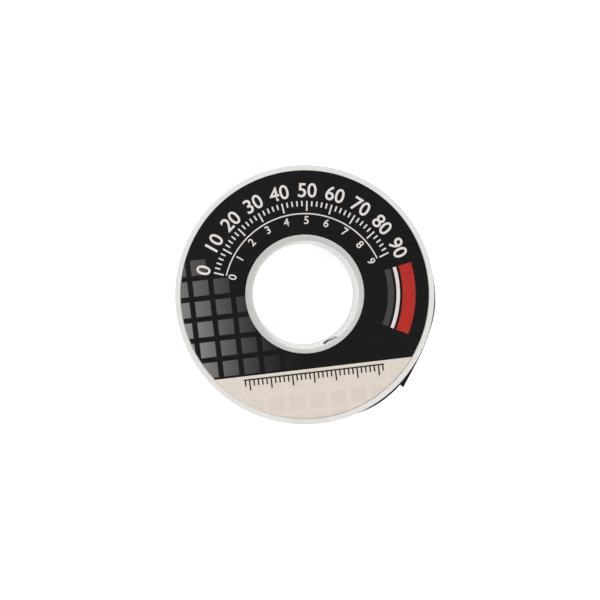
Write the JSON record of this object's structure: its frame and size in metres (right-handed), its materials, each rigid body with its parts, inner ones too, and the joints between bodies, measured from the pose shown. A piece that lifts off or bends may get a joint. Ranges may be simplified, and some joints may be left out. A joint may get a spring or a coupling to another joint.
{
  "type": "solder wire spool",
  "caption": "Flanged plastic bobbin in plugged halves, wound with flux-cored solder wire under a springy wrap strip with a loose tail; round label on the front flange and an open spindle bore.",
  "frame": {"origin": "on the spool's axis, in the plane of the rear flange's rim that it stands on", "axes": "+Z along the spool's axis towards the labelled front flange; +X to the right and +Y up in the picture of the label"},
  "size_m": [0.0606, 0.06, 0.028],
  "materials": {
    "spool_plastic": "moulded off-white polystyrene, satin",
    "label_film": "printed film label, black with a cream segment",
    "solder": "drawn tin-lead solder wire, silver grey",
    "strip_plastic": "thin dark plastic strip, half matt"
  },
  "bodies": {
    "spool": {"front_half": "spool_plastic", "rear_half": "spool_plastic", "front_label": "label_film", "wire_winding": "solder", "wire_outer_layer": "solder", "wire_start_end": "solder", "wrap_strip": "strip_plastic"},
    "strip_tail": {"wrap_strip_tail": "strip_plastic"}
  },
  "joints": [
    {"name": "strip_tail_lift", "type": "hinge", "parent": "spool", "child": "strip_tail", "pos_m": [0.02699, -0.01405, 0.014], "axis": [0, 0, 1], "range_deg": [0, 75], "stiffness_Nm_per_rad": 0.0004}
  ]
}
